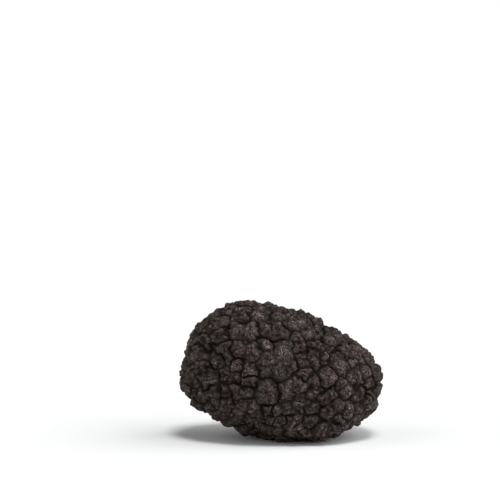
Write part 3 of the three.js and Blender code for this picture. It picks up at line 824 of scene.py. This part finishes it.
def fine_relief(height, directions, places, flank, crown, cells):
    """Heights with nodules, granules, star cracks and streaks, and their patterns.

    Each is its own pattern times its height, and fades out into the fissures. Streaks
    fade out on the tops of the crowns, too.
    """
    surface = body_points(directions)
    points = directions * MEAN_RADIUS
    bent = surface + BENT * np.stack([wave_value(waves, points) for waves in BENDS], axis=-1)
    nodule, crease = nodules(bent, NODULE_SIZE, NODULE_DRAW)
    granule, fine_crease = nodules(bent, GRANULE_SIZE, GRANULE_DRAW)
    broken = smooth_step(wave_value(BREAKS, surface), *BROKEN_FROM_TO)
    rough = (FLANK_ROUGH + CROWN_ROUGH * smooth_step(crown, *ROUGH_CROWNS)) * flank
    rough = rough * (1 + END_ROUGH * places["left_end"])
    star = star_cracks(directions, places["radius"], places["own"], cells)
    streak = streaks(directions, places["own"], cells)
    height = height + NODULE_HEIGHT * rough * (nodule - MEAN_DOME)
    height -= NODULE_CREASE * rough * crease * broken
    height += GRANULE_HEIGHT * rough * (granule - MEAN_DOME)
    height -= GRANULE_CREASE * rough * fine_crease
    height -= STAR_DEPTH * star * flank
    height += STREAK_HEIGHT * streak * flank * smooth_step(crown, *STREAKED_CROWNS)
    # creases between nodules and granules, which the colour darkens as painted shade
    creases = rough * (crease * broken + GRANULE_CREASE_SHARE * fine_crease)
    patterns = {
        "crease": np.clip(creases, 0, 1),
        # star cracks, for painted shade
        "star": star,
        # granule tops, for painted highlight
        "granule": granule * rough,
        # streak furrows and ridges, for painted shade and painted highlight
        "streak": streak,
    }
    return height, patterns


def rind(directions, cells):
    """The rind over each direction: its height above the body, and patterns for its colours.

    The line of painted shade in a fissure is a bell curve of the distance to it, the painted
    shade beside it fades exponentially, and each wart has two draws of its own.
    """
    places = places_on_warts(directions, cells)
    height, flank, crown, lobe = wart_relief(directions, places, cells)
    height, gape = filled_fissures(height, directions, places, cells)
    height, patterns = fine_relief(height, directions, places, flank, crown, cells)
    to_fissure = places["to_fissure"]
    # the black line of painted shade in a fissure, darker where it gapes, and the painted shade
    # beside it
    width = FISSURE_LINE * np.minimum(WIDEST_LINE, places["opening"])
    line = np.exp(-((to_fissure / width) ** 2))
    patterns["fissure"] = line * (SHUT_LINE + GAPING_LINE * gape)
    patterns["hollow"] = np.exp(-to_fissure / (HOLLOW_REACH + GAPING_REACH * gape))
    patterns["crown"] = np.clip((crown + lobe) / 2, 0, 1)
    warts = cells["wart"][places["own"]][:, None] * np.ones(3)
    patterns["tint"] = lattice_points(warts, TINT_DRAW)[:, 0] % 1
    patterns["hue"] = lattice_points(warts, HUE_DRAW)[:, 1] % 1
    return height, patterns


def smoothed(heights, squares, rounds):
    """Heights averaged with their neighbours along the squares' sides, again and again."""
    starts = squares.ravel()
    ends = np.roll(squares, -1, axis=1).ravel()
    count = np.bincount(starts, minlength=len(heights))
    for _ in range(rounds):
        total = np.bincount(starts, weights=heights[ends], minlength=len(heights))
        heights = (heights + total / count) / 2
    return heights


def patch_grid():
    """Directions of a cube's surface drawn out to a sphere, and the squares between them.

    Each of the six patches is a grid. Their places on the cube are whole numbers, so the
    points that two patches share are found exactly and kept once. Tangents of even
    angles keep the squares even, and the roots of the body's half sizes draw them out
    along it.
    """
    n = PATCH_SQUARES
    steps = np.arange(n + 1)
    i, j = np.meshgrid(steps, steps, indexing="ij")
    corner = (steps[:-1, None] * (n + 1) + steps[None, :-1]).ravel()
    square = np.stack([corner, corner + n + 1, corner + n + 2, corner + 1], axis=1)
    places = []
    squares = []
    for axis in range(3):
        for side in (0, n):
            place = np.empty((n + 1, n + 1, 3), int)
            place[..., axis] = side
            place[..., (axis + 1) % 3] = i
            place[..., (axis + 2) % 3] = j
            outward = square if side else square[:, ::-1]
            squares.append(outward + len(places) * (n + 1) ** 2)
            places.append(place.reshape(-1, 3))
    unique, index = np.unique(np.concatenate(places), axis=0, return_inverse=True)
    spread = np.tan((2 * unique / n - 1) * math.pi / 4)
    stretch = np.sqrt([HALF_LENGTH, HALF_DEPTH, HALF_HEIGHT])
    return unit(spread * stretch), index.ravel()[np.concatenate(squares)]


def mesh_object(name, points, faces):
    """An object whose mesh holds these points, in millimetres, and faces."""
    mesh = bpy.data.meshes.new(name)
    mesh.from_pydata((points * MM).tolist(), [], faces.tolist())
    mesh.shade_smooth()
    made = bpy.data.objects.new(name, mesh)
    bpy.context.scene.collection.objects.link(made)
    return made


def truffle_rind():
    """The whole truffle: the body with its warts and fine relief, cut flat underneath.

    Pits far below the average of the rind round them are filled. Hollows and edges are
    where the rind is below or above the average close by, and get painted shade and painted
    highlight.
    """
    cells = make_cells()
    directions, squares = patch_grid()
    directions = drawn_to_fissures(directions, cells)
    height, patterns = rind(directions, cells)
    deepest = smoothed(height, squares, PIT_ROUNDS) - PIT_DEPTH
    height = rounded_max(height, deepest, PIT_ROUNDING)
    # hollows and edges, for painted shade and painted highlight
    patterns["cavity"] = (height - smoothed(height, squares, CAVITY_ROUNDS)) / CAVITY_DEPTH
    points = body_points(directions) + body_normals(directions) * height[:, None]
    points[:, 2] = np.maximum(points[:, 2], 0)
    truffle = mesh_object("truffle_rind", points, squares)
    for name in POINT_PATTERNS:
        attribute = truffle.data.attributes.new(name, "FLOAT", "POINT")
        attribute.data.foreach_set("value", patterns[name].astype(np.float32))
    return truffle


def linear(colour):
    """An sRGB hex colour as linear red, green, blue and alpha."""
    values = [int(colour[i : i + 2], 16) / 255 for i in (1, 3, 5)]
    return [v / 12.92 if v <= 0.04045 else ((v + 0.055) / 1.055) ** 2.4 for v in values] + [1]


def add_node(tree, kind, settings=None, inputs=None, links=None):
    """Adds a node with its settings, its input values and its links from other sockets."""
    node = tree.nodes.new(kind)
    for name, value in (settings or {}).items():
        setattr(node, name, value)
    for name, value in (inputs or {}).items():
        node.inputs[name].default_value = value
    for name, socket in (links or {}).items():
        tree.links.new(socket, node.inputs[name])
    return node


def new_material(name):
    """A new material, and its node tree, which is empty."""
    material = bpy.data.materials.new(name)
    material.use_nodes = True
    tree = material.node_tree
    tree.nodes.clear()
    return material, tree


def pattern_sockets(tree):
    """Every pattern of the rind by its name: the mesh's own, noise, crumbs and wrinkles."""
    sockets = {}
    for name in POINT_PATTERNS:
        node = add_node(tree, "ShaderNodeAttribute", {"attribute_name": name})
        sockets[name] = node.outputs["Fac"]
    place = add_node(tree, "ShaderNodeTexCoord").outputs["Object"]
    for name, (size, layers, strength) in NOISES.items():
        values = {"Scale": 1 / (size * MM), "Detail": layers, "Roughness": strength}
        node = add_node(tree, "ShaderNodeTexNoise", None, values, {"Vector": place})
        sockets[name] = node.outputs["Fac"]
    values = {"Scale": 1 / (CRUMB_SIZE * MM)}
    crumbs = add_node(tree, "ShaderNodeTexVoronoi", {"feature": "F1"}, values, {"Vector": place})
    sockets["crumbs"] = crumbs.outputs["Distance"]

    size, layers, strength = WRINKLE_WARP
    values = {"Scale": 1 / (size * MM), "Detail": layers, "Roughness": strength}
    warp = add_node(tree, "ShaderNodeTexNoise", None, values, {"Vector": place})
    bend = {1: (WRINKLE_BEND * MM,) * 3}
    links = {0: warp.outputs["Color"], 2: place}
    bent = add_node(tree, "ShaderNodeVectorMath", {"operation": "MULTIPLY_ADD"}, bend, links)
    for name, size in WRINKLE_SIZES.items():
        settings = {"feature": "DISTANCE_TO_EDGE"}
        values = {"Scale": 1 / (size * MM)}
        links = {"Vector": bent.outputs["Vector"]}
        node = add_node(tree, "ShaderNodeTexVoronoi", settings, values, links)
        sockets[name] = node.outputs["Distance"]
    return sockets


def coated(tree, patterns, below, over, followed):
    """One coat over another, as thick as the product of the patterns that it follows. Each
    of the two is a hex colour or the socket of what is painted already."""
    thickness = None
    for name, *limits in followed:
        share = patterns[name]
        if limits:
            values = dict(zip(RANGE_LIMITS, limits))
            share = add_node(tree, "ShaderNodeMapRange", SMOOTH, values, {"Value": share}).outputs[0]
        if thickness is not None:
            links = {0: thickness, 1: share}
            node = add_node(tree, "ShaderNodeMath", {"operation": "MULTIPLY"}, None, links)
            share = node.outputs[0]
        thickness = share
    coats = {MIX_BELOW: below, MIX_OVER: over}
    colours = {key: linear(coat) for key, coat in coats.items() if isinstance(coat, str)}
    links = {key: coat for key, coat in coats.items() if not isinstance(coat, str)}
    links[MIX_FACTOR] = thickness
    return add_node(tree, "ShaderNodeMix", {"data_type": "RGBA"}, colours, links).outputs[MIX_RESULT]


def rind_colour(tree, patterns):
    """Grey flanks, crowns from brown to grey, and the coats over both, with painted shade in
    fissures, hollows, creases and cracks and painted highlights on edges, ridges and granules.
    """
    flanks = coated(tree, patterns, *FLANKS)
    brown = coated(tree, patterns, *BROWN_CROWNS)
    grey = coated(tree, patterns, *GREY_CROWNS)
    crowns = coated(tree, patterns, brown, grey, WART_BY_WART)
    crowns = coated(tree, patterns, crowns, *BLUSH)
    colour = coated(tree, patterns, flanks, crowns, UP_THE_CROWNS)
    for over, followed in COATS:
        colour = coated(tree, patterns, colour, over, followed)
    return colour


def rind_bump(tree, patterns):
    """The rind's normal: grains, noise less crumbs, under the plates between wrinkles."""
    links = {0: patterns["grit"], 1: patterns["crumbs"]}
    grains = add_node(tree, "ShaderNodeMath", {"operation": "SUBTRACT"}, None, links)
    links = {}
    for key, (name, limits) in enumerate(PLATES.items()):
        values = dict(zip(RANGE_LIMITS, limits))
        node = add_node(tree, "ShaderNodeMapRange", SMOOTH, values, {"Value": patterns[name]})
        links[key] = node.outputs["Result"]
    plates = add_node(tree, "ShaderNodeMath", {"operation": "ADD"}, None, links)
    values = {"Strength": BUMP_STRENGTH, "Distance": GRAIN_HEIGHT * MM}
    grained = add_node(tree, "ShaderNodeBump", None, values, {"Height": grains.outputs[0]})
    values = {"Strength": BUMP_STRENGTH, "Distance": PLATE_HEIGHT * MM}
    links = {"Height": plates.outputs[0], "Normal": grained.outputs["Normal"]}
    return add_node(tree, "ShaderNodeBump", None, values, links).outputs["Normal"]


def rind_material():
    """Dry truffle rind, the fungus's own skin, which cracks as it grows and then dries.

    So it is matt all over, with no more than a dull gleam from the side, nearly black with
    painted shade in the fissures, and grey to brown and gritty on the warts.
    """
    material, tree = new_material("dry_truffle_rind")
    patterns = pattern_sockets(tree)
    values = dict(zip(RANGE_LIMITS, ROUGHNESS))
    links = {"Value": patterns["mottle"]}
    roughness = add_node(tree, "ShaderNodeMapRange", SMOOTH, values, links)
    shader = add_node(
        tree,
        "ShaderNodeBsdfPrincipled",
        None,
        {"Metallic": 0.0, "IOR": 1.45, "Specular IOR Level": 0.12},
        {
            "Base Color": rind_colour(tree, patterns),
            "Roughness": roughness.outputs["Result"],
            "Normal": rind_bump(tree, patterns),
        },
    )
    add_node(tree, "ShaderNodeOutputMaterial", None, None, {"Surface": shader.outputs["BSDF"]})
    return material


def pale_floor():
    """A plain pale floor that reaches past every view's horizon. It is matt card, so it
    looks the same from every side and mirrors nothing."""
    corners = np.array([(-1, -1, 0), (1, -1, 0), (1, 1, 0), (-1, 1, 0)], float) * FLOOR_HALF
    corners[:, 2] = FLOOR_LEVEL
    floor = mesh_object("pale_floor", corners, np.array([[0, 1, 2, 3]]))
    material, tree = new_material("matt_pale_card")
    shader = add_node(
        tree,
        "ShaderNodeBsdfPrincipled",
        None,
        {"Base Color": linear(PALE), "Roughness": 0.9, "Specular IOR Level": 0.1},
    )
    add_node(tree, "ShaderNodeOutputMaterial", None, None, {"Surface": shader.outputs["BSDF"]})
    floor.data.materials.append(material)


def soft_room():
    """Dim light from all round, and a pale glow along the horizon that goes on from the
    floor without an edge."""
    world = bpy.data.worlds.new("soft_room")
    world.use_nodes = True
    tree = world.node_tree
    toward = add_node(tree, "ShaderNodeTexCoord").outputs["Generated"]
    height = add_node(tree, "ShaderNodeSeparateXYZ", links={"Vector": toward}).outputs["Z"]
    values = dict(zip(RANGE_LIMITS, (*GLOW_HEIGHTS, HORIZON_GLOW, ROOM_GLOW)))
    glow = add_node(tree, "ShaderNodeMapRange", SMOOTH, values, {"Value": height})
    background = tree.nodes["Background"]
    background.inputs["Color"].default_value = linear(ROOM_COLOUR)
    tree.links.new(glow.outputs["Result"], background.inputs["Strength"])
    bpy.context.scene.world = world


def studio_lamps():
    """Three soft lamps: a key from high on the front, and a broad one from each side, the
    right one stronger."""
    for name, (azimuth, elevation, strength, spread) in LAMPS.items():
        sun = bpy.data.lights.new(name, "SUN")
        sun.energy = strength
        sun.angle = math.radians(spread)
        turn = math.radians(azimuth)
        rise = math.radians(elevation)
        level = math.cos(rise)
        back = Vector((math.sin(turn) * level, -math.cos(turn) * level, math.sin(rise)))
        lamp = bpy.data.objects.new(name, sun)
        lamp.rotation_mode = "QUATERNION"
        lamp.rotation_quaternion = back.to_track_quat("Z", "Y")
        bpy.context.scene.collection.objects.link(lamp)


def photo_camera():
    """A long lens on the front, a little above level, framed as the photograph is."""
    back = Vector((0, -math.cos(VIEW_RISE), math.sin(VIEW_RISE)))
    up = Vector((0, math.sin(VIEW_RISE), math.cos(VIEW_RISE)))
    right = Vector((1, 0, 0))
    across = (PIXELS / 2 - TRUFFLE_AT[0]) * MM_PER_PIXEL
    above = (TRUFFLE_AT[1] - PIXELS / 2) * MM_PER_PIXEL
    aim = TRUFFLE_MIDDLE + right * across + up * above
    place = TRUFFLE_MIDDLE + back * CAMERA_DISTANCE
    camera = bpy.data.cameras.new("camera")
    camera.sensor_width = SENSOR
    camera.lens = SENSOR * CAMERA_DISTANCE / (PIXELS * MM_PER_PIXEL)
    camera.clip_start = NEAREST_SEEN
    camera.clip_end = FURTHEST_SEEN
    held = bpy.data.objects.new("camera", camera)
    held.location = place * MM
    held.rotation_mode = "QUATERNION"
    held.rotation_quaternion = (place - aim).to_track_quat("Z", "Y")
    bpy.context.scene.collection.objects.link(held)
    bpy.context.scene.camera = held


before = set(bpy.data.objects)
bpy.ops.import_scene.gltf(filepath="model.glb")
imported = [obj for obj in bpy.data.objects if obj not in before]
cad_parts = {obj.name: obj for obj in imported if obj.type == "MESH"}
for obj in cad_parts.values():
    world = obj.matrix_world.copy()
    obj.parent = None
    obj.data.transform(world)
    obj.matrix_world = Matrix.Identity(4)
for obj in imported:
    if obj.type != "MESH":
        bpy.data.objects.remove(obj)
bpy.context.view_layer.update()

photo_camera()
truffle = truffle_rind()
truffle.data.materials.append(rind_material())
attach(truffle, "root")
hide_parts("black_truffle")
pale_floor()
soft_room()
studio_lamps()
bpy.context.scene.view_settings.view_transform = "Standard"
